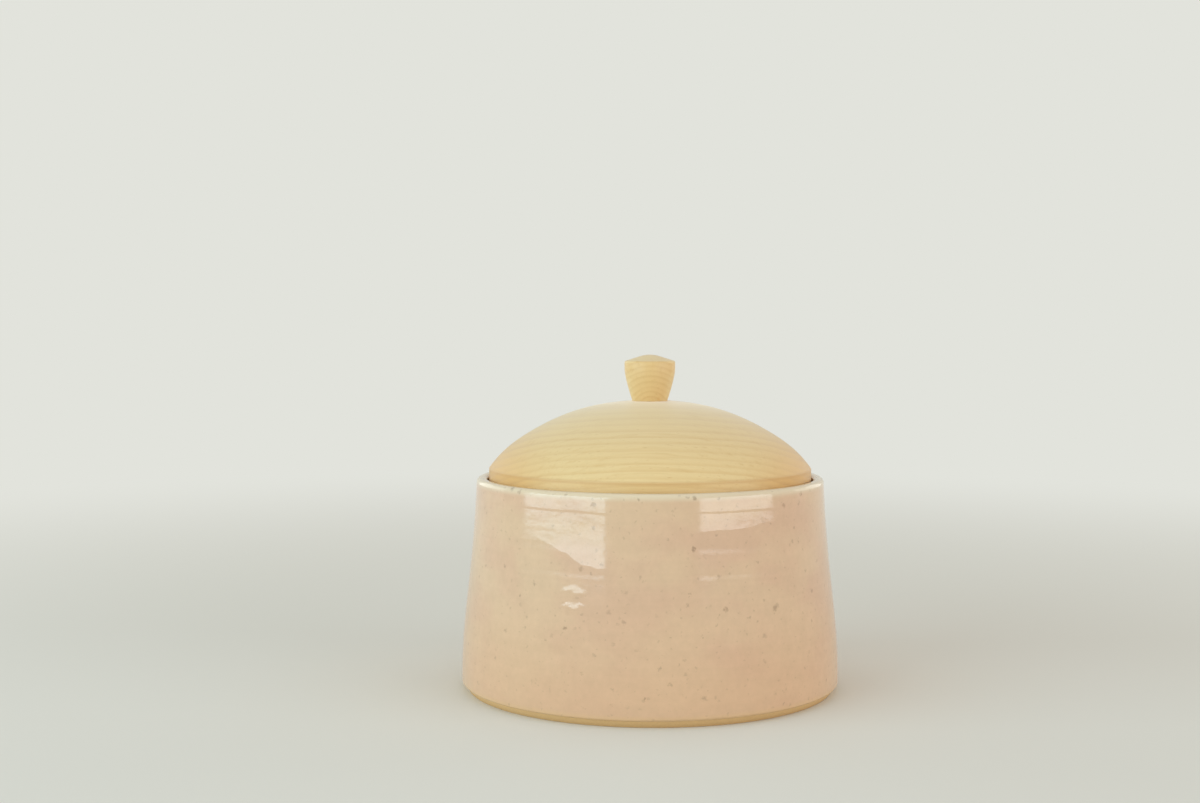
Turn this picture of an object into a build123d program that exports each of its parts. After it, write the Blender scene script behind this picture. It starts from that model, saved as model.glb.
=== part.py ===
from build123d import *
from math import cos, radians, sin, tan
import os

# Storage jar: a thrown stoneware body with a turned wooden lid and knob.
# Millimetres, Z up. The origin is the centre of the foot, on the surface the jar stands on.

# Jar body, outside
jar_height = 67.0
belly_radius = 60.0
belly_height = 4.5
waist_inset = 2.72
waist_height = 38.0
lip_inset = 4.95
lip_lean = 2.3
lip_round = 1.4

# Bare clay foot, below the line where the glaze was wiped off
glaze_line_height = 2.2
glaze_step = 0.8
glaze_edge_round = 0.7
foot_bevel = 1.4
foot_ring_width = 6.0
foot_recess_depth = 1.8
foot_edge_round = 0.4

# Jar body, inside
wall_thickness = 4.6
floor_thickness = 5.8
floor_corner_round = 9.0

# Rim and the ledge inside it that carries the lid
rim_thickness = 3.3
rim_inner_round = 1.1
ledge_depth = 5.0
ledge_width = 3.8
ledge_thickness = 3.5
ledge_underside_slope = 45.0
ledge_round = 0.8

# Lid
lid_gap = 0.6
lid_edge_height = 7.8
lid_edge_chamfer = 0.8
lid_crease_round = 0.3
dome_rise = 21.4
dome_edge_slope = 55.0
shoulder_inset = 12.65
shoulder_drop = 10.2
crown_inset = 25.7
crown_drop = 3.9
spigot_gap = 0.7
spigot_depth = 6.0
spigot_wall = 6.5
spigot_round = 1.2
crown_thickness = 11.0

# Knob
knob_foot_radius = 5.6
knob_foot_flare = 18.5
knob_recess_depth = 1.2
knob_recess_gap = 0.1
knob_flank_radius = 7.35
knob_flank_height = 5.9
knob_radius = 8.05
knob_widest_height = 10.7
knob_rise = 14.55
knob_cap_slope = 17.5
knob_tip_radius = 10.0
knob_corner_round = 0.7

# Countersunk wood screw that holds the knob, driven from under the lid
screw_length = 20.0
screw_radius = 1.75
screw_hole_gap = 0.2
screw_head_radius = 3.5
screw_head_rim = 0.3
screw_head_sink = 0.3
screw_point_length = 3.0
screw_drive_span = 4.2
screw_drive_slot = 0.9
screw_drive_depth = 1.5

# Heights and radii that follow from the sizes above
waist_radius = belly_radius - waist_inset
lip_radius = belly_radius - lip_inset
clay_radius = belly_radius - glaze_step
foot_radius = clay_radius - foot_bevel
floor_height = foot_recess_depth + floor_thickness
rim_inner_radius = lip_radius - rim_thickness
ledge_height = jar_height - ledge_depth
ledge_inner_radius = rim_inner_radius - ledge_width
lid_radius = rim_inner_radius - lid_gap
crease_height = ledge_height + lid_edge_height
crown_height = crease_height + dome_rise
spigot_radius = ledge_inner_radius - spigot_gap
spigot_height = ledge_height - spigot_depth
hollow_radius = spigot_radius - spigot_wall
hollow_top = crown_height - crown_thickness
knob_seat_height = crown_height - knob_recess_depth
screw_head_height = hollow_top + screw_head_sink
screw_tip_height = screw_head_height + screw_length

# How near an edge lies to a named radius or height when it is picked for rounding
edge_match = 0.01


def turned(*edges):
    """Spin a closed outline, drawn as (radius, height), about the Z axis."""
    outline = make_face(Curve() + list(edges))
    return revolve(Plane.XZ * outline, Axis.Z)


def path(*points):
    """Straight edges from point to point."""
    return [Line(start, end) for start, end in zip(points, points[1:])]


def drum(radius, low, high):
    """A plain cylinder on the Z axis between two heights."""
    return Pos(0, 0, low) * Cylinder(radius, high - low, align=(Align.CENTER, Align.CENTER, Align.MIN))


def rings(solid, radius, height):
    """The round edges of a turned solid at one radius and height."""
    return [
        edge
        for edge in solid.edges().filter_by(GeomType.CIRCLE)
        if abs(edge.radius - radius) < edge_match and abs(edge.arc_center.Z - height) < edge_match
    ]


def wall_curve(inset):
    """The jar's side from belly to lip, moved inwards by inset."""
    lean = radians(lip_lean)
    return Spline(
        (belly_radius - inset, belly_height),
        (waist_radius - inset, waist_height),
        (lip_radius - inset, jar_height),
        tangents=((0, 1), (-sin(lean), cos(lean))),
    )


def wall_solid(inset, low):
    """The solid inside the wall curve, from the height low up to the lip."""
    return turned(
        *path((belly_radius - inset, belly_height), (belly_radius - inset, low), (0, low), (0, jar_height)),
        Line((0, jar_height), (lip_radius - inset, jar_height)),
        wall_curve(inset),
    )


def store_room():
    """The room under the ledge, narrowing upwards below it."""
    room = wall_solid(wall_thickness, 0) & drum(belly_radius, floor_height, ledge_height)
    underside = ledge_height - ledge_thickness
    reach = belly_radius - ledge_inner_radius
    funnel_base = underside - reach * tan(radians(ledge_underside_slope))
    funnel = turned(
        *path(
            (0, 0),
            (belly_radius, 0),
            (belly_radius, funnel_base),
            (ledge_inner_radius, underside),
            (0, underside),
            (0, 0),
        )
    )
    room = room & funnel
    floor_edges = room.edges().filter_by(GeomType.CIRCLE).group_by(Axis.Z)[0]
    return fillet(floor_edges, floor_corner_round)


def make_jar():
    """Stoneware body: leaning wall, lip, lid ledge, floor and bare foot."""
    foot = turned(
        *path(
            (0, 0),
            (foot_radius, 0),
            (clay_radius, glaze_line_height),
            (0, glaze_line_height),
            (0, 0),
        )
    )
    jar = wall_solid(0, glaze_line_height) + foot
    jar -= drum(foot_radius - foot_ring_width, 0, foot_recess_depth)
    jar -= store_room()
    jar -= drum(ledge_inner_radius, floor_height + floor_corner_round, jar_height)
    jar -= drum(rim_inner_radius, ledge_height, jar_height)

    jar = fillet(rings(jar, lip_radius, jar_height), lip_round)
    jar = fillet(rings(jar, rim_inner_radius, jar_height), rim_inner_round)
    jar = fillet(rings(jar, ledge_inner_radius, ledge_height), ledge_round)
    jar = fillet(rings(jar, belly_radius, glaze_line_height), glaze_edge_round)
    jar = fillet(rings(jar, foot_radius, 0), foot_edge_round)
    jar = fillet(rings(jar, foot_radius - foot_ring_width, 0), foot_edge_round)
    return jar


def dome_curve():
    """The lid's top from the crown down to the crease above its edge."""
    slope = radians(dome_edge_slope)
    return Spline(
        (0, crown_height),
        (lid_radius - crown_inset, crown_height - crown_drop),
        (lid_radius - shoulder_inset, crown_height - shoulder_drop),
        (lid_radius, crease_height),
        tangents=((1, 0), (cos(slope), -sin(slope))),
    )


def screw_blank(gap):
    """The screw's outline with a gap round its shank, for the screw and for its hole."""
    shank_radius = screw_radius + gap
    cone_top = screw_head_height + screw_head_rim + screw_head_radius - shank_radius
    point_start = screw_tip_height - screw_point_length
    return turned(
        *path(
            (0, screw_head_height),
            (screw_head_radius, screw_head_height),
            (screw_head_radius, screw_head_height + screw_head_rim),
            (shank_radius, cone_top),
            (shank_radius, point_start),
            (0, screw_tip_height),
            (0, screw_head_height),
        )
    )


def make_lid():
    """Turned wooden lid: domed top, upright edge, seat, spigot and hollow underside."""
    lid = turned(
        dome_curve(),
        *path(
            (lid_radius, crease_height),
            (lid_radius, ledge_height),
            (spigot_radius, ledge_height),
            (spigot_radius, spigot_height),
            (0, spigot_height),
            (0, crown_height),
        ),
    )
    hollow = turned(
        EllipticalCenterArc(
            (0, spigot_height), hollow_radius, hollow_top - spigot_height, start_angle=0, arc_size=90
        ),
        *path((0, hollow_top), (0, spigot_height), (hollow_radius, spigot_height)),
    )
    lid -= hollow
    lid -= drum(knob_foot_radius + knob_recess_gap, knob_seat_height, crown_height)
    lid -= screw_blank(screw_hole_gap)
    lid -= drum(screw_head_radius, hollow_top - screw_head_sink, screw_head_height)

    lid = fillet(rings(lid, lid_radius, crease_height), lid_crease_round)
    lid = chamfer(rings(lid, lid_radius, ledge_height), lid_edge_chamfer)
    lid = fillet(rings(lid, spigot_radius, spigot_height), spigot_round)
    lid = fillet(rings(lid, hollow_radius, spigot_height), spigot_round)
    return lid


def make_knob():
    """Turned knob: narrow foot, sides that swell upwards and a low rounded cone on top."""
    flare = radians(knob_foot_flare)
    slope = radians(knob_cap_slope)
    apex_height = crown_height + knob_rise
    tip_reach = knob_tip_radius * sin(slope)
    tip_height = apex_height - knob_tip_radius * (1 - cos(slope))
    corner_height = tip_height - (knob_radius - tip_reach) * tan(slope)
    tip_middle = (
        knob_tip_radius * sin(slope / 2),
        apex_height - knob_tip_radius * (1 - cos(slope / 2)),
    )
    side = Spline(
        (knob_foot_radius, crown_height),
        (knob_flank_radius, crown_height + knob_flank_height),
        (knob_radius, crown_height + knob_widest_height),
        tangents=((sin(flare), cos(flare)), (0, 1)),
    )
    knob = turned(
        *path((0, apex_height), (0, knob_seat_height), (knob_foot_radius, knob_seat_height)),
        Line((knob_foot_radius, knob_seat_height), (knob_foot_radius, crown_height)),
        side,
        *path(
            (knob_radius, crown_height + knob_widest_height),
            (knob_radius, corner_height),
            (tip_reach, tip_height),
        ),
        ThreePointArc((tip_reach, tip_height), tip_middle, (0, apex_height)),
    )
    knob -= screw_blank(0)
    return fillet(rings(knob, knob_radius, corner_height), knob_corner_round)


def make_knob_screw():
    """Countersunk wood screw with a cross recess in its head."""
    screw = screw_blank(0)
    slot = Box(
        screw_drive_span,
        screw_drive_slot,
        screw_drive_depth,
        align=(Align.CENTER, Align.CENTER, Align.MIN),
    )
    recess = Pos(0, 0, screw_head_height) * (slot + Rot(0, 0, 90) * slot)
    return screw - recess


os.makedirs("parts", exist_ok=True)
export_step(make_jar(), "parts/jar.step")
export_step(make_lid(), "parts/lid.step")
export_step(make_knob(), "parts/knob.step")
export_step(make_knob_screw(), "parts/knob_screw.step")
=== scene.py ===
"""Looks of the storage jar: speckled pink glaze, bare clay foot, turned wooden lid and knob, steel screw.

Lengths are in metres in the scene and in millimetres inside the materials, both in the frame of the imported
model: Z up, origin at the centre of the foot.
"""

import math

import bpy
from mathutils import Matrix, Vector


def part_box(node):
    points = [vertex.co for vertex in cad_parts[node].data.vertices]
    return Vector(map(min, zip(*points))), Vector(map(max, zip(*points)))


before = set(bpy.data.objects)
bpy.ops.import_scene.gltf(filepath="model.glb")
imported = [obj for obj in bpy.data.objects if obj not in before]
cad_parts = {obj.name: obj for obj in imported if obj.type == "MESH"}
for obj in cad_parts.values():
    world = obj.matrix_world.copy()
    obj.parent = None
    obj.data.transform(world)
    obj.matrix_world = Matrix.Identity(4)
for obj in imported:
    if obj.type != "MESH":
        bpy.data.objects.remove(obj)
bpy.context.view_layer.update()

MM_PER_METRE = 1000.0

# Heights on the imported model: the jar's rim, and the crease that the lid's dome rises from
DOME_RISE_MM = 21.4
JAR_TOP_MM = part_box("jar")[1].z * MM_PER_METRE
LID_CREASE_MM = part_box("lid")[1].z * MM_PER_METRE - DOME_RISE_MM


def srgb(red, green, blue):
    """A colour given as 0-255 screen values, in the linear light that shaders use."""
    linear = []
    for value in (red, green, blue):
        value /= 255
        linear.append(value / 12.92 if value <= 0.04045 else ((value + 0.055) / 1.055) ** 2.4)
    return (*linear, 1.0)


# Camera, at the photograph's viewing angle

CAMERA_PLACE = (0.0, -0.5325, 0.1184)
CAMERA_TILT_DOWN = 0.0518
CAMERA_TURN_LEFT = 0.0298
CAMERA_LENS_MM = 50.19
CAMERA_SENSOR_MM = 36.0
CAMERA_NEAREST = 0.01


def make_camera():
    """The camera, a little above the knob, looking slightly down and to the left."""
    camera = bpy.data.objects.new("camera", bpy.data.cameras.new("camera"))
    camera.location = CAMERA_PLACE
    camera.rotation_euler = (math.pi / 2 - CAMERA_TILT_DOWN, 0.0, CAMERA_TURN_LEFT)
    camera.data.lens = CAMERA_LENS_MM
    camera.data.sensor_width = CAMERA_SENSOR_MM
    camera.data.clip_start = CAMERA_NEAREST
    bpy.context.scene.collection.objects.link(camera)
    bpy.context.scene.camera = camera


# Shader building

# The colour sockets of the Mix node, whose sockets for numbers and vectors have the same names
MIX_SHARE = 0
MIX_FIRST = 6
MIX_SECOND = 7
MIX_RESULT = 2

# How much of a pattern's shift goes along each axis
SHIFT_SHARES = (1.0, 0.7, 1.3)


class Shader:
    """The node tree of a material or world, with short calls that add a node and return its main output."""

    def __init__(self, owner, output_kind="ShaderNodeOutputMaterial"):
        owner.use_nodes = True
        self.tree = owner.node_tree
        self.tree.nodes.clear()
        self.output = self.tree.nodes.new(output_kind)

    def put(self, socket, value):
        """Link a socket to another node's output, or set it to a fixed value."""
        if isinstance(value, bpy.types.NodeSocket):
            self.tree.links.new(value, socket)
        else:
            socket.default_value = value

    def node(self, kind, settings=None, **inputs):
        """A node with its settings and inputs, whose names are written with _ for spaces."""
        node = self.tree.nodes.new(kind)
        for key, value in (settings or {}).items():
            setattr(node, key, value)
        for key, value in inputs.items():
            self.put(node.inputs[key.replace("_", " ")], value)
        return node

    def node_in_order(self, kind, settings, values):
        """A node whose first inputs are given in their order."""
        node = self.node(kind, settings)
        for socket, value in zip(node.inputs, values):
            self.put(socket, value)
        return node

    def calc(self, operation, *values, clamp=False):
        """Arithmetic on numbers."""
        settings = {"operation": operation, "use_clamp": clamp}
        return self.node_in_order("ShaderNodeMath", settings, values).outputs[0]

    def vector(self, operation, *values):
        """Arithmetic on vectors."""
        node = self.node_in_order("ShaderNodeVectorMath", {"operation": operation}, values)
        return node.outputs["Value" if operation == "LENGTH" else "Vector"]

    def spread(self, value, low, high):
        """A number from 0 to 1 turned into one from low to high."""
        return self.calc("MULTIPLY_ADD", value, high - low, low)

    def distance(self, x, y):
        """How far a point is from the origin of a plane."""
        return self.calc("SQRT", self.calc("MULTIPLY_ADD", x, x, self.calc("MULTIPLY", y, y)))

    def remap(self, value, low, high, to_low=0.0, to_high=1.0, smooth=True):
        """A number between low and high turned into one between two others, and held at their ends."""
        node = self.node(
            "ShaderNodeMapRange",
            {"interpolation_type": "SMOOTHSTEP" if smooth else "LINEAR", "clamp": True},
            Value=value,
            From_Min=low,
            From_Max=high,
            To_Min=to_low,
            To_Max=to_high,
        )
        return node.outputs["Result"]

    def place_mm(self):
        """The shaded point in the frame's own coordinates, in millimetres."""
        coordinates = self.node("ShaderNodeTexCoord").outputs["Object"]
        return self.vector("MULTIPLY", coordinates, (MM_PER_METRE,) * 3)

    def split(self, vector):
        """The three parts of a vector or colour."""
        return self.node("ShaderNodeSeparateXYZ", Vector=vector).outputs

    def join(self, x, y, z):
        """A vector made of three numbers."""
        return self.node("ShaderNodeCombineXYZ", X=x, Y=y, Z=z).outputs[0]

    def counted(self, place, waves_mm, shifts):
        """The place counted in waves along each axis, and shifted so that no two patterns are alike."""
        stretch = tuple(1.0 / wave for wave in waves_mm)
        return self.vector("ADD", self.vector("MULTIPLY", place, stretch), shifts)

    def noise(self, place, waves_mm, detail=2.0, roughness=0.5, shift=0.0):
        """Soft noise from 0 to 1, with one wavelength in millimetres or one along each axis."""
        waves = waves_mm if isinstance(waves_mm, tuple) else (waves_mm,) * 3
        moved = self.counted(place, waves, tuple(shift * share for share in SHIFT_SHARES))
        node = self.node("ShaderNodeTexNoise", Vector=moved, Scale=1.0, Detail=detail, Roughness=roughness)
        return node.outputs["Fac"]

    def jitter(self, place, wave_mm, reach_mm, shift):
        """The place moved about at random, for ragged outlines."""
        moved = self.counted(place, (wave_mm,) * 3, (shift,) * 3)
        node = self.node("ShaderNodeTexNoise", Vector=moved, Scale=1.0, Detail=2.0)
        offset = self.vector("SUBTRACT", node.outputs["Color"], (0.5,) * 3)
        return self.vector("ADD", place, self.vector("MULTIPLY", offset, (2 * reach_mm,) * 3))

    def mix(self, share, first, second, blend="MIX"):
        """One colour turned into another by a share from 0 to 1."""
        node = self.node("ShaderNodeMix", {"data_type": "RGBA", "blend_type": blend, "clamp_factor": True})
        self.put(node.inputs[MIX_SHARE], share)
        self.put(node.inputs[MIX_FIRST], first)
        self.put(node.inputs[MIX_SECOND], second)
        return node.outputs[MIX_RESULT]

    def bump(self, height_mm):
        """A normal from a height in millimetres."""
        node = self.node("ShaderNodeBump", Strength=1.0, Distance=1 / MM_PER_METRE, Height=height_mm)
        return node.outputs["Normal"]

    def seen(self):
        """1 where the camera sees this itself or through gloss or glass, and 0 where it only lights."""
        path = self.node("ShaderNodeLightPath").outputs
        seen = self.calc("MAXIMUM", path["Is Camera Ray"], path["Is Glossy Ray"])
        return self.calc("MAXIMUM", seen, path["Is Transmission Ray"])

    def mix_surfaces(self, share, first, second):
        """One surface or background turned into another by a share from 0 to 1."""
        return self.node_in_order("ShaderNodeMixShader", {}, (share, first, second)).outputs[0]

    def finish(self, surface):
        """Make this surface or background the tree's result."""
        self.put(self.output.inputs["Surface"], surface)

    def principled(self, **inputs):
        """Make the Principled surface the tree's result."""
        self.finish(self.node("ShaderNodeBsdfPrincipled", **inputs).outputs[0])


# Bare clay of the foot

CLAY = srgb(216, 180, 127)
CLAY_DARK = srgb(196, 158, 107)
CLAY_GRAIN = dict(waves_mm=0.7, detail=4.0, roughness=0.7, shift=5.5)
CLAY_RELIEF_MM = 0.12
CLAY_ROUGHNESS = 0.85

# Up to this height the clay is darker, a painted contact shadow: what is added to its grain at the bottom
# and from there upwards
CLAY_PAINTED_SHADOW_MM = 1.6
CLAY_PAINTED_SHADOW = (-0.25, 0.35)


def clay_colour(shader, grain, height):
    """Grainy clay, darker towards the bottom of the foot, where a contact shadow is painted."""
    painted_shadow = shader.remap(height, 0.0, CLAY_PAINTED_SHADOW_MM, *CLAY_PAINTED_SHADOW)
    return shader.mix(shader.calc("ADD", grain, painted_shadow, clamp=True), CLAY_DARK, CLAY)


# Glaze of the jar: colours

GLAZE_PINK = srgb(211, 176, 146)
GLAZE_CREAM = srgb(214, 183, 150)
GLAZE_PAINTED_BOUNCE = srgb(215, 175, 139)
GLAZE_THIN = srgb(224, 209, 180)
GLAZE_ROUGHNESS = 0.11

# Broad patches of pink and cream: size, and the stretch of the noise over which they meet
PATCHES = dict(waves_mm=(24.0, 24.0, 15.0), detail=3.0)
PATCH_MEETING = (0.36, 0.64)

# Painted warm bounce light from the table, a peach tint low on the wall: heights where it is full and where
# it ends, and its share
PAINTED_BOUNCE_FULL_MM = 4.0
PAINTED_BOUNCE_END_MM = 44.0
PAINTED_BOUNCE_SHARE = 0.6

# The thin glaze of the lip: heights where it starts and where it is full, and its share
LIP_START_MM = JAR_TOP_MM - 2.8
LIP_FULL_MM = JAR_TOP_MM - 0.4
LIP_SHARE = 0.85

# The wavy line where the glaze was wiped off: its height, and its reach down and up. Just above it the glaze
# turns towards the clay colour, over this height and by this share: partly clay showing through the thin
# glaze, partly painted shade that damps the floor's pale reflection on the rounded glaze edge.
GLAZE_LINE_MM = 2.2
GLAZE_LINE_REACH_MM = (-0.13, 0.17)
GLAZE_LINE_WAVES = dict(waves_mm=5.0, shift=2.3)
THIN_GLAZE_AND_SHADE_MM = 2.0
THIN_GLAZE_AND_SHADE_SHARE = 0.5

# Light and dark in the glaze: its darkest value, and how much each pattern adds to it
DARKEST_VALUE = 0.85
MOTTLE_VALUE = 0.14
LINES_VALUE = 0.07
CLOUD_VALUE = 0.10
MOTTLE = dict(waves_mm=5.0, detail=5.0, roughness=0.65, shift=3.1)
LINES = dict(waves_mm=2.6, detail=3.0, roughness=0.6, shift=1.9)
CLOUD = dict(waves_mm=1.7, detail=3.0, roughness=0.6, shift=8.3)

# How far the throwing lines rise and fall on their way round, in millimetres
LINES_SWAY = dict(waves_mm=45.0, detail=1.0, shift=7.7)
LINES_SWAY_MM = 3.0

# Specks of iron in the glaze: grid cell and radius in millimetres, share of the cells, strength, colour
SPECK_GREY = srgb(146, 119, 99)
SPECK_BROWN = srgb(112, 84, 58)
SPECKS = (
    (1.9, 0.38, 0.75, 0.28, SPECK_GREY),
    (2.8, 0.54, 0.70, 0.36, SPECK_GREY),
    (4.4, 0.80, 0.60, 0.42, SPECK_GREY),
    (8.0, 0.90, 0.50, 0.52, SPECK_BROWN),
)

# Smallest and largest speck as shares of the radius, the soft edge as shares of the speck, the faintest
# speck, and the shift of the first grid and of each grid after it
SPECK_SIZES = (0.55, 1.15)
SPECK_EDGE = (0.35, 1.15)
SPECK_FAINTEST = 0.4
SPECK_SHIFT = 4.7
SPECK_SHIFT_STEP = 6.6
SPECK_JITTER = dict(wave_mm=0.9, reach_mm=0.9, shift=9.1)


def specks(shader, place, cell_mm, radius_mm, share, shift):
    """Soft spots from 0 to 1, one in some of the cells of an uneven grid."""
    moved = shader.counted(place, (cell_mm,) * 3, (shift,) * 3)
    node = shader.node("ShaderNodeTexVoronoi", Vector=moved, Scale=1.0, Randomness=1.0)
    chance, size, depth = shader.split(node.outputs["Color"])
    smallest, largest = (part * radius_mm / cell_mm for part in SPECK_SIZES)
    away = shader.calc("DIVIDE", node.outputs["Distance"], shader.spread(size, smallest, largest))
    spot = shader.remap(away, *SPECK_EDGE, 1.0, 0.0)
    kept = shader.calc("LESS_THAN", chance, share)
    strength = shader.spread(depth, SPECK_FAINTEST, 1.0)
    return shader.calc("MULTIPLY", shader.calc("MULTIPLY", spot, kept), strength)


def glaze_value(shader, place, height):
    """Light and dark in the glaze: mottling, throwing lines and a fine cloud."""
    level = shader.calc("MULTIPLY_ADD", shader.noise(place, **LINES_SWAY), LINES_SWAY_MM, height)
    lines = shader.noise(shader.join(0.0, 0.0, level), **LINES)
    value = shader.calc("MULTIPLY_ADD", lines, LINES_VALUE, DARKEST_VALUE)
    value = shader.calc("MULTIPLY_ADD", shader.noise(place, **MOTTLE), MOTTLE_VALUE, value)
    return shader.calc("MULTIPLY_ADD", shader.noise(place, **CLOUD), CLOUD_VALUE, value)


def glaze_colour(shader, place, height):
    """Pink and cream patches, peach painted bounce light low down, thin glaze at the lip, clay tone and
    painted shade at the foot, specks over all.
    """
    patches = shader.remap(shader.noise(place, **PATCHES), *PATCH_MEETING)
    colour = shader.mix(patches, GLAZE_PINK, GLAZE_CREAM)
    # Painted warm bounce light low on the wall, as a peach tint.
    painted_bounce = shader.remap(height, PAINTED_BOUNCE_FULL_MM, PAINTED_BOUNCE_END_MM, PAINTED_BOUNCE_SHARE, 0.0)
    colour = shader.mix(painted_bounce, colour, GLAZE_PAINTED_BOUNCE)
    colour = shader.mix(1.0, colour, glaze_value(shader, place, height), "MULTIPLY")

    lip = shader.remap(height, LIP_START_MM, LIP_FULL_MM, 0.0, LIP_SHARE)
    colour = shader.mix(lip, colour, GLAZE_THIN)
    # Clay tone and painted shade just above the glaze line.
    thin_glaze_and_shade = shader.remap(height, GLAZE_LINE_MM, GLAZE_LINE_MM + THIN_GLAZE_AND_SHADE_MM, THIN_GLAZE_AND_SHADE_SHARE, 0.0)
    colour = shader.mix(thin_glaze_and_shade, colour, CLAY)

    ragged = shader.jitter(place, **SPECK_JITTER)
    for number, (cell_mm, radius_mm, share, strength, speck_colour) in enumerate(SPECKS):
        spots = specks(shader, ragged, cell_mm, radius_mm, share, SPECK_SHIFT + SPECK_SHIFT_STEP * number)
        colour = shader.mix(shader.calc("MULTIPLY", spots, strength), colour, speck_colour)
    return colour


# Glaze of the jar: relief

# The wall is fullest along a crest round the jar, and falls by these amounts per millimetre above and below
# it. The crest is tilted along X, wanders up and down by a little, and dips by a lot at one place.
CREST_MM = 54.8
CREST_TILT = 0.07
CREST_WANDER = dict(waves_mm=13.0, detail=4.0, roughness=0.6, shift=4.4)
CREST_WANDER_MM = 2.0
SLOPE_ABOVE_CREST = -0.030
SLOPE_BELOW_CREST = 0.014
CREST_REACH_MM = 32.0
CREST_DIP_PLACE = (-10.0, -57.0, 46.0)
CREST_DIP_CORE_MM = 3.0
CREST_DIP_REACH_MM = 28.0
CREST_DIP_MM = -8.5

# Steps that the fingers left in the wall: height, width and rise outwards, in millimetres
THROWING_STEPS = ((61.3, 0.9, 0.032), (50.4, 2.2, -0.030), (43.2, 1.8, -0.024), (21.0, 2.0, 0.020))
STEP_SWAY = dict(waves_mm=26.0, detail=1.0, shift=7.7)
STEP_SWAY_MM = 1.2

# Small lumps under the glaze that catch the window light: places, reach each way and rise, in millimetres
LUMPS = ((-22.8, -54.4, 38.3), (-22.8, -54.3, 33.6))
LUMP_REACH_MM = (5.4, 5.4, 2.2)
LUMP_RISE_MM = 0.13
LUMP_JITTER = dict(wave_mm=2.4, reach_mm=0.9, shift=1.7)

# Faint waves all over: rings that follow the steps, and ripples, with their rise in millimetres
RING_WAVES = dict(waves_mm=6.0, shift=0.6)
RIPPLES = dict(waves_mm=9.0, detail=3.0, shift=6.2)
WAVE_RISE_MM = 0.03


def crest_relief(shader, place, height):
    """The wall's fullness along the wandering crest, in millimetres."""
    away = shader.vector("LENGTH", shader.vector("SUBTRACT", place, CREST_DIP_PLACE))
    dip = shader.remap(away, CREST_DIP_CORE_MM, CREST_DIP_REACH_MM, CREST_DIP_MM, 0.0)
    wander = shader.noise(place, **CREST_WANDER)
    crest = shader.spread(wander, CREST_MM - CREST_WANDER_MM, CREST_MM + CREST_WANDER_MM)
    crest = shader.calc("ADD", dip, crest)
    crest = shader.calc("MULTIPLY_ADD", shader.split(place)[0], CREST_TILT, crest)
    above = shader.calc("SUBTRACT", height, crest)
    upper = shader.calc("MULTIPLY", above, SLOPE_ABOVE_CREST)
    lower = shader.calc("MULTIPLY", shader.calc("MAXIMUM", above, -CREST_REACH_MM), SLOPE_BELOW_CREST)
    return shader.calc("MINIMUM", upper, lower)


def glaze_relief(shader, place, height):
    """The unevenness of the thrown and dipped wall, in millimetres."""
    relief = crest_relief(shader, place, height)
    sway = shader.spread(shader.noise(place, **STEP_SWAY), -STEP_SWAY_MM, STEP_SWAY_MM)
    level = shader.calc("ADD", sway, height)
    for middle, width, rise in THROWING_STEPS:
        step = shader.remap(level, middle - width / 2, middle + width / 2, 0.0, rise)
        relief = shader.calc("ADD", relief, step)
    ragged = shader.jitter(place, **LUMP_JITTER)
    for lump in LUMPS:
        away = shader.vector("DIVIDE", shader.vector("SUBTRACT", ragged, lump), LUMP_REACH_MM)
        swell = shader.remap(shader.vector("LENGTH", away), 0.0, 1.0, LUMP_RISE_MM, 0.0)
        relief = shader.calc("ADD", relief, swell)
    ring_waves = shader.noise(shader.join(0.0, 0.0, level), **RING_WAVES)
    relief = shader.calc("MULTIPLY_ADD", ring_waves, WAVE_RISE_MM, relief)
    return shader.calc("MULTIPLY_ADD", shader.noise(place, **RIPPLES), WAVE_RISE_MM, relief)


def make_glazed_stoneware():
    """The jar's material: glaze down to the wavy line over the foot, and bare clay below it."""
    material = bpy.data.materials.new("glazed_stoneware")
    shader = Shader(material)
    place = shader.place_mm()
    height = shader.split(place)[2]
    grain = shader.noise(place, **CLAY_GRAIN)

    reach = shader.spread(shader.noise(place, **GLAZE_LINE_WAVES), *GLAZE_LINE_REACH_MM)
    glazed = shader.calc("GREATER_THAN", height, shader.calc("ADD", reach, GLAZE_LINE_MM))
    colour = shader.mix(glazed, clay_colour(shader, grain, height), glaze_colour(shader, place, height))
    relief = shader.node(
        "ShaderNodeMix",
        {"data_type": "FLOAT"},
        Factor=glazed,
        A=shader.calc("MULTIPLY", grain, CLAY_RELIEF_MM),
        B=glaze_relief(shader, place, height),
    )
    shader.principled(
        Base_Color=colour,
        Roughness=shader.remap(glazed, 0.0, 1.0, CLAY_ROUGHNESS, GLAZE_ROUGHNESS, smooth=False),
        Normal=shader.bump(relief.outputs["Result"]),
    )
    return material


# Wood of the lid and the knob

WOOD_PALE = srgb(229, 202, 149)
WOOD_LINE = srgb(212, 175, 114)
WOOD_END_GRAIN_AND_SHADE = srgb(214, 168, 100)
WOOD_FLECK_AND_SHADE = srgb(196, 150, 92)
WOOD_PAINTED_SHEEN = srgb(232, 217, 180)

# The two pieces of wood: axis that the fibres follow (0 for X, 1 for Y), place of the pith beside and above
# the origin, ring width, seed of the noise, strength of the ring lines, shares of the warm end-grain colour
# where the fibres run into the surface and as painted shade on upright surfaces, and sheen
LID_WOOD = dict(
    fibre=0,
    pith_mm=(22.0, 330.0),
    ring_mm=2.35,
    seed=3.0,
    line_strength=0.42,
    end_share=0.9,
    upright_painted_shade=0.35,
    sheen=0.4,
)
KNOB_WOOD = dict(
    fibre=1,
    pith_mm=(0.3, 88.5),
    ring_mm=1.65,
    seed=12.0,
    line_strength=0.34,
    end_share=0.36,
    upright_painted_shade=0.36,
    sheen=0.12,
)

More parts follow.
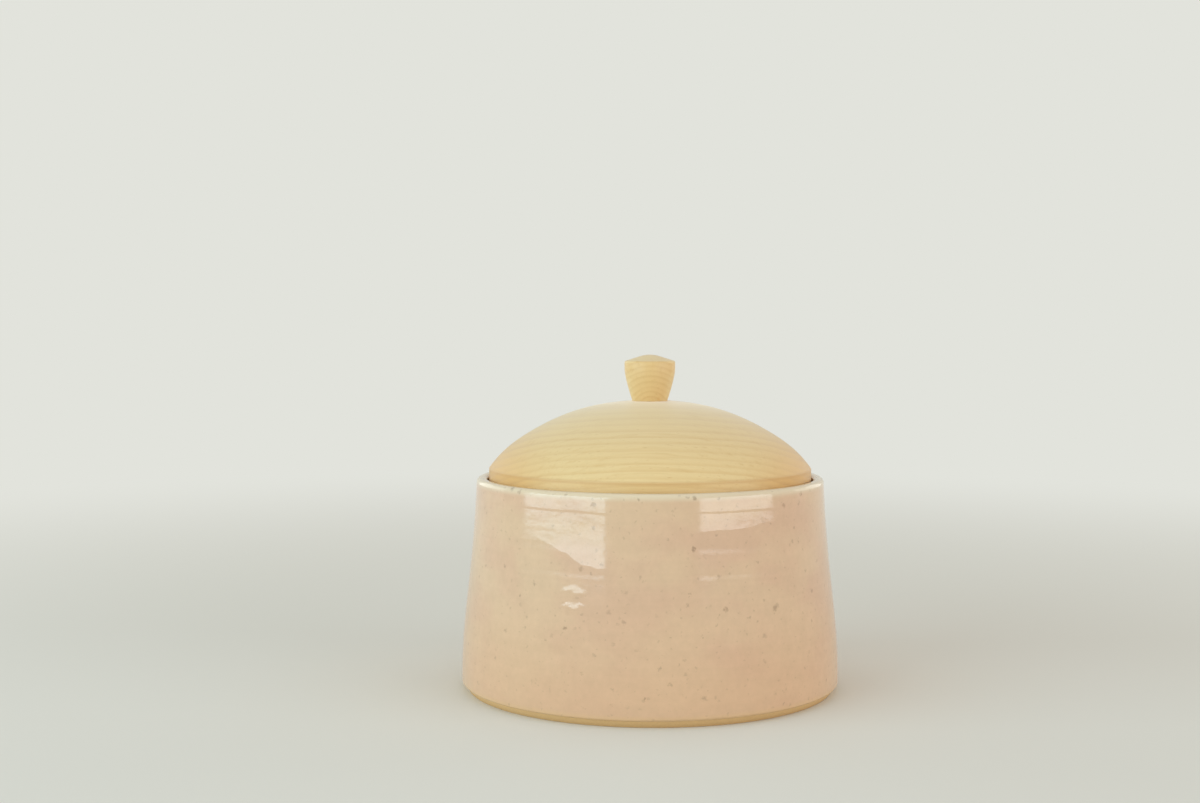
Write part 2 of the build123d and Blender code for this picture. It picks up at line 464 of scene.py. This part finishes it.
# Growth rings: they bend away from the pith towards the lid's ends, differ in width, and drift along the
# fibres. The wave of the widths is counted in rings.
BOW_START_MM = 30.0
BOW_END_MM = 52.0
BOW_MM = -2.5
RING_WIDTHS = dict(waves_mm=3.1, detail=1.0)
RING_WIDTHS_SHARE = 0.8
RING_WIDTHS_SHIFT = 2.0
RING_DRIFT = dict(along_mm=42.0, across_mm=9.0)
RING_DRIFT_SHARE = 0.45

# Late wood: stretch of each ring over which it darkens, stretch over which it ends, and the faintest ring
LATE_START = (0.30, 0.84)
LATE_END = (0.86, 1.0)
LATE_FAINTEST = 0.55

# Fine grain, streaks and flecks, with the stretch of the noise that they show in and their share
FINE_GRAIN = dict(along_mm=6.0, across_mm=0.35, detail=3.0, roughness=0.6, shift=4.0)
FINE_VALUES = (0.94, 1.06)
STREAKS = dict(along_mm=28.0, across_mm=1.4, shift=6.0)
STREAK_STRETCH = (0.50, 0.85)
STREAK_SHARE = 0.45
FLECKS = dict(along_mm=2.4, across_mm=0.45, detail=1.0, shift=8.0)
FLECK_STRETCH = (0.66, 0.80)
FLECK_SHARE = 0.45

# Stretches of the surface's normal over which the colour changes: its part along the fibres for end grain,
# and its upward part for the painted shade on upright surfaces and for the painted sheen, a paler colour, on
# top surfaces
END_FACING = (0.35, 0.85)
UPRIGHT_SHADE_FACING = (0.05, 0.35)
PAINTED_SHEEN_FACING = (0.80, 1.0)
PAINTED_SHEEN_SHARE = 0.4

# Painted shade in the crease under the lid's dome, a dark line: its half width, hard and with its soft edge
CREASE_PAINTED_SHADE_WIDTHS_MM = (0.1, 0.9)
CREASE_PAINTED_SHADE_SHARE = 0.4

FINE_RELIEF_MM = 0.03
LATE_RELIEF_MM = -0.015
EARLY_ROUGHNESS = 0.5
LATE_ROUGHNESS = 0.42
SHEEN_ROUGHNESS = 0.35


def fibre_noise(shader, place, fibre, seed, along_mm, across_mm, shift=0.0, **settings):
    """Noise that is drawn out along the fibres."""
    waves = [across_mm] * 3
    waves[fibre] = along_mm
    return shader.noise(place, tuple(waves), shift=seed + shift, **settings)


def late_wood(shader, place, fibre, pith_mm, ring_mm, seed):
    """The dark late wood of the growth rings, from 0 to 1: rings round a pith line along the fibres."""
    parts = shader.split(place)
    beside = shader.calc("SUBTRACT", parts[1 - fibre], pith_mm[0])
    above = shader.calc("SUBTRACT", parts[2], pith_mm[1])
    bow = shader.remap(shader.calc("ABSOLUTE", parts[fibre]), BOW_START_MM, BOW_END_MM, 0.0, BOW_MM)
    rings = shader.calc("DIVIDE", shader.calc("ADD", shader.distance(beside, above), bow), ring_mm)
    widths = shader.noise(shader.join(rings, 0.0, 0.0), shift=seed + RING_WIDTHS_SHIFT, **RING_WIDTHS)
    rings = shader.calc("MULTIPLY_ADD", widths, RING_WIDTHS_SHARE, rings)
    drift = shader.calc("SUBTRACT", fibre_noise(shader, place, fibre, seed, **RING_DRIFT), 0.5)
    rings = shader.calc("MULTIPLY_ADD", drift, RING_DRIFT_SHARE, rings)

    number = shader.calc("FLOOR", rings)
    chance = shader.node("ShaderNodeTexWhiteNoise", {"noise_dimensions": "1D"}, W=number).outputs["Value"]
    phase = shader.calc("FRACT", rings)
    start = shader.remap(phase, *LATE_START)
    end = shader.remap(phase, *LATE_END, 1.0, 0.0)
    late = shader.calc("MULTIPLY", start, end)
    return shader.calc("MULTIPLY", late, shader.spread(chance, LATE_FAINTEST, 1.0))


def make_wood(name, fibre, pith_mm, ring_mm, seed, line_strength, end_share, upright_painted_shade, sheen):
    """Pale close-grained wood, with warmer end grain, painted shade on upright surfaces and a painted sheen
    on top.
    """
    material = bpy.data.materials.new(name)
    shader = Shader(material)
    place = shader.place_mm()
    late = late_wood(shader, place, fibre, pith_mm, ring_mm, seed)
    lines = shader.calc("MULTIPLY", late, line_strength)
    fine = fibre_noise(shader, place, fibre, seed, **FINE_GRAIN)
    streaks = fibre_noise(shader, place, fibre, seed, **STREAKS)
    flecks = fibre_noise(shader, place, fibre, seed, **FLECKS)

    colour = shader.mix(lines, WOOD_PALE, WOOD_LINE)
    colour = shader.mix(shader.remap(streaks, *STREAK_STRETCH, 0.0, STREAK_SHARE), colour, WOOD_LINE)
    colour = shader.mix(shader.remap(flecks, *FLECK_STRETCH, 0.0, FLECK_SHARE), colour, WOOD_FLECK_AND_SHADE)
    colour = shader.mix(1.0, colour, shader.spread(fine, *FINE_VALUES), "MULTIPLY")

    facing = shader.split(shader.node("ShaderNodeTexCoord").outputs["Normal"])
    end = shader.remap(shader.calc("ABSOLUTE", facing[fibre]), *END_FACING, 0.0, end_share)
    # Upright surfaces turn to the warm end-grain colour as painted shade.
    edge = shader.remap(shader.calc("ABSOLUTE", facing[2]), *UPRIGHT_SHADE_FACING, upright_painted_shade, 0.0)
    end_grain_and_shade = shader.mix(lines, WOOD_END_GRAIN_AND_SHADE, WOOD_FLECK_AND_SHADE)
    colour = shader.mix(shader.calc("MAXIMUM", end, edge), colour, end_grain_and_shade)
    # Top surfaces turn paler: a painted sheen.
    colour = shader.mix(shader.remap(facing[2], *PAINTED_SHEEN_FACING, 0.0, PAINTED_SHEEN_SHARE), colour, WOOD_PAINTED_SHEEN)

    height = shader.split(place)[2]
    # Painted shade along the crease under the lid's dome.
    crease = shader.calc("ABSOLUTE", shader.calc("SUBTRACT", height, LID_CREASE_MM))
    colour = shader.mix(shader.remap(crease, *CREASE_PAINTED_SHADE_WIDTHS_MM, CREASE_PAINTED_SHADE_SHARE, 0.0), colour, WOOD_FLECK_AND_SHADE)

    dents = shader.calc("MULTIPLY", late, LATE_RELIEF_MM)
    shader.principled(
        Base_Color=colour,
        Roughness=shader.remap(late, 0.0, 1.0, EARLY_ROUGHNESS, LATE_ROUGHNESS, smooth=False),
        Sheen_Weight=sheen,
        Sheen_Roughness=SHEEN_ROUGHNESS,
        Normal=shader.bump(shader.calc("MULTIPLY_ADD", fine, FINE_RELIEF_MM, dents)),
    )
    return material


# Steel of the screw

STEEL_DARK = srgb(176, 174, 170)
STEEL_BRIGHT = srgb(206, 205, 202)

# Turning marks: their width, how fast they change along the axis beside how fast across it, and their rise
STEEL_MARKS_MM = 0.12
STEEL_MARKS_ALONG = 0.4
STEEL_RELIEF_MM = 0.01
STEEL_ROUGHNESS = (0.28, 0.42)
STEEL_ROUGHNESS_STRETCH = (0.2, 0.8)


def make_steel():
    """Turned steel: rings round the screw's axis, drawn out along it."""
    material = bpy.data.materials.new("screw_steel")
    shader = Shader(material)
    x, y, z = shader.split(shader.place_mm())
    along = shader.calc("MULTIPLY", z, STEEL_MARKS_ALONG)
    marks = shader.noise(shader.join(shader.distance(x, y), 0.0, along), STEEL_MARKS_MM)
    shader.principled(
        Base_Color=shader.mix(marks, STEEL_DARK, STEEL_BRIGHT),
        Metallic=1.0,
        Roughness=shader.remap(marks, *STEEL_ROUGHNESS_STRETCH, *STEEL_ROUGHNESS),
        Normal=shader.bump(shader.calc("MULTIPLY", marks, STEEL_RELIEF_MM)),
    )
    return material


def dress(node, material):
    """Give a CAD node one material."""
    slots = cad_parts[node].data.materials
    slots.clear()
    slots.append(material)


# Studio: pale floor and sky

BACKGROUND = srgb(226, 227, 220)
SKY = srgb(255, 250, 240)
SKY_STRENGTH = 0.497
FLOOR = srgb(232, 232, 226)
FLOOR_SPAN = 6.0

# Distances from the jar's axis: the floor is clear within the first, and fades into the background
FLOOR_HOLE = 0.0574
FLOOR_FADE_START = 0.16
FLOOR_FADE_END = 0.75


def make_world():
    """Even light from the sky, and the plain background wherever it is seen."""
    world = bpy.data.worlds.new("sky")
    shader = Shader(world, "ShaderNodeOutputWorld")
    light = shader.node("ShaderNodeBackground", Color=SKY, Strength=SKY_STRENGTH).outputs[0]
    backdrop = shader.node("ShaderNodeBackground", Color=BACKGROUND, Strength=1.0).outputs[0]
    shader.finish(shader.mix_surfaces(shader.seen(), light, backdrop))
    bpy.context.scene.world = world


def make_floor_material():
    """Matt floor, clear from below and under the jar, so that the foot is lit and seen from below."""
    material = bpy.data.materials.new("floor_pale")
    shader = Shader(material)
    distance = shader.vector("LENGTH", shader.node("ShaderNodeTexCoord").outputs["Object"])
    fade = shader.remap(distance, FLOOR_FADE_START, FLOOR_FADE_END)
    matt = shader.node("ShaderNodeBsdfDiffuse", Color=FLOOR).outputs[0]
    glow = shader.node("ShaderNodeEmission", Color=BACKGROUND, Strength=1.0).outputs[0]
    top = shader.mix_surfaces(shader.calc("MULTIPLY", fade, shader.seen()), matt, glow)

    below = shader.node("ShaderNodeNewGeometry").outputs["Backfacing"]
    hole = shader.calc("LESS_THAN", distance, FLOOR_HOLE)
    clear = shader.node("ShaderNodeBsdfTransparent").outputs[0]
    shader.finish(shader.mix_surfaces(shader.calc("MAXIMUM", below, hole), top, clear))
    return material


def make_floor():
    """The floor that the jar stands on."""
    half = FLOOR_SPAN / 2
    mesh = bpy.data.meshes.new("floor")
    corners = [(-half, -half, 0.0), (half, -half, 0.0), (half, half, 0.0), (-half, half, 0.0)]
    mesh.from_pydata(corners, [], [(0, 1, 2, 3)])
    mesh.materials.append(make_floor_material())
    floor = bpy.data.objects.new("floor", mesh)
    bpy.context.scene.collection.objects.link(floor)


# Studio: two window-shaped lamps in front, two weak ones behind, and one above

# Upright lamps: first and last azimuth in degrees from the camera's side towards +X, heights of the lower
# and the upper edge in metres, power in watts, colour
UPRIGHT_LAMPS = {
    "window_left": (-86, -27, 0.083, 0.62, 11.0, srgb(220, 245, 255)),
    "window_right": (31, 83, 0.083, 0.52, 6.3, srgb(242, 246, 250)),
    "fill_left": (-150, -110, 0.05, 0.60, 1.6, srgb(250, 250, 246)),
    "fill_right": (110, 150, 0.05, 0.60, 1.6, srgb(250, 250, 246)),
}
UPRIGHT_LAMP_DISTANCE = 1.2

TOP_LAMP_HEIGHT = 1.1
TOP_LAMP_SPAN = 1.0
TOP_LAMP_POWER = 1.0
TOP_LAMP_COLOUR = srgb(255, 250, 240)


def make_lamp(name, size, place, turn, power, colour):
    """A rectangular lamp that the camera doesn't see, facing down before its turn."""
    light = bpy.data.lights.new(name, "AREA")
    light.shape = "RECTANGLE"
    light.size = size[0]
    light.size_y = size[1]
    light.energy = power
    light.color = colour[:3]
    lamp = bpy.data.objects.new(name, light)
    lamp.location = place
    lamp.rotation_euler = turn
    lamp.visible_camera = False
    bpy.context.scene.collection.objects.link(lamp)


def make_upright_lamp(name, first, last, bottom, top, power, colour):
    """An upright lamp that faces the jar, and fills the view from it between two azimuths and heights."""
    middle = math.radians((first + last) / 2)
    half_angle = math.radians((last - first) / 2)
    distance = UPRIGHT_LAMP_DISTANCE
    size = (2 * distance * math.tan(half_angle), top - bottom)
    place = (distance * math.sin(middle), -distance * math.cos(middle), (top + bottom) / 2)
    make_lamp(name, size, place, (math.pi / 2, 0.0, middle), power, colour)


def make_lamps():
    """All lamps of the studio."""
    for name, values in UPRIGHT_LAMPS.items():
        make_upright_lamp(name, *values)
    size = (TOP_LAMP_SPAN, TOP_LAMP_SPAN)
    place = (0.0, 0.0, TOP_LAMP_HEIGHT)
    make_lamp("top_light", size, place, (0.0, 0.0, 0.0), TOP_LAMP_POWER, TOP_LAMP_COLOUR)


make_camera()
make_world()
make_floor()
make_lamps()

dress("jar", make_glazed_stoneware())
dress("lid", make_wood("lid_wood", **LID_WOOD))
dress("knob", make_wood("knob_wood", **KNOB_WOOD))
dress("knob_screw", make_steel())

bpy.context.scene.view_settings.view_transform = "Standard"
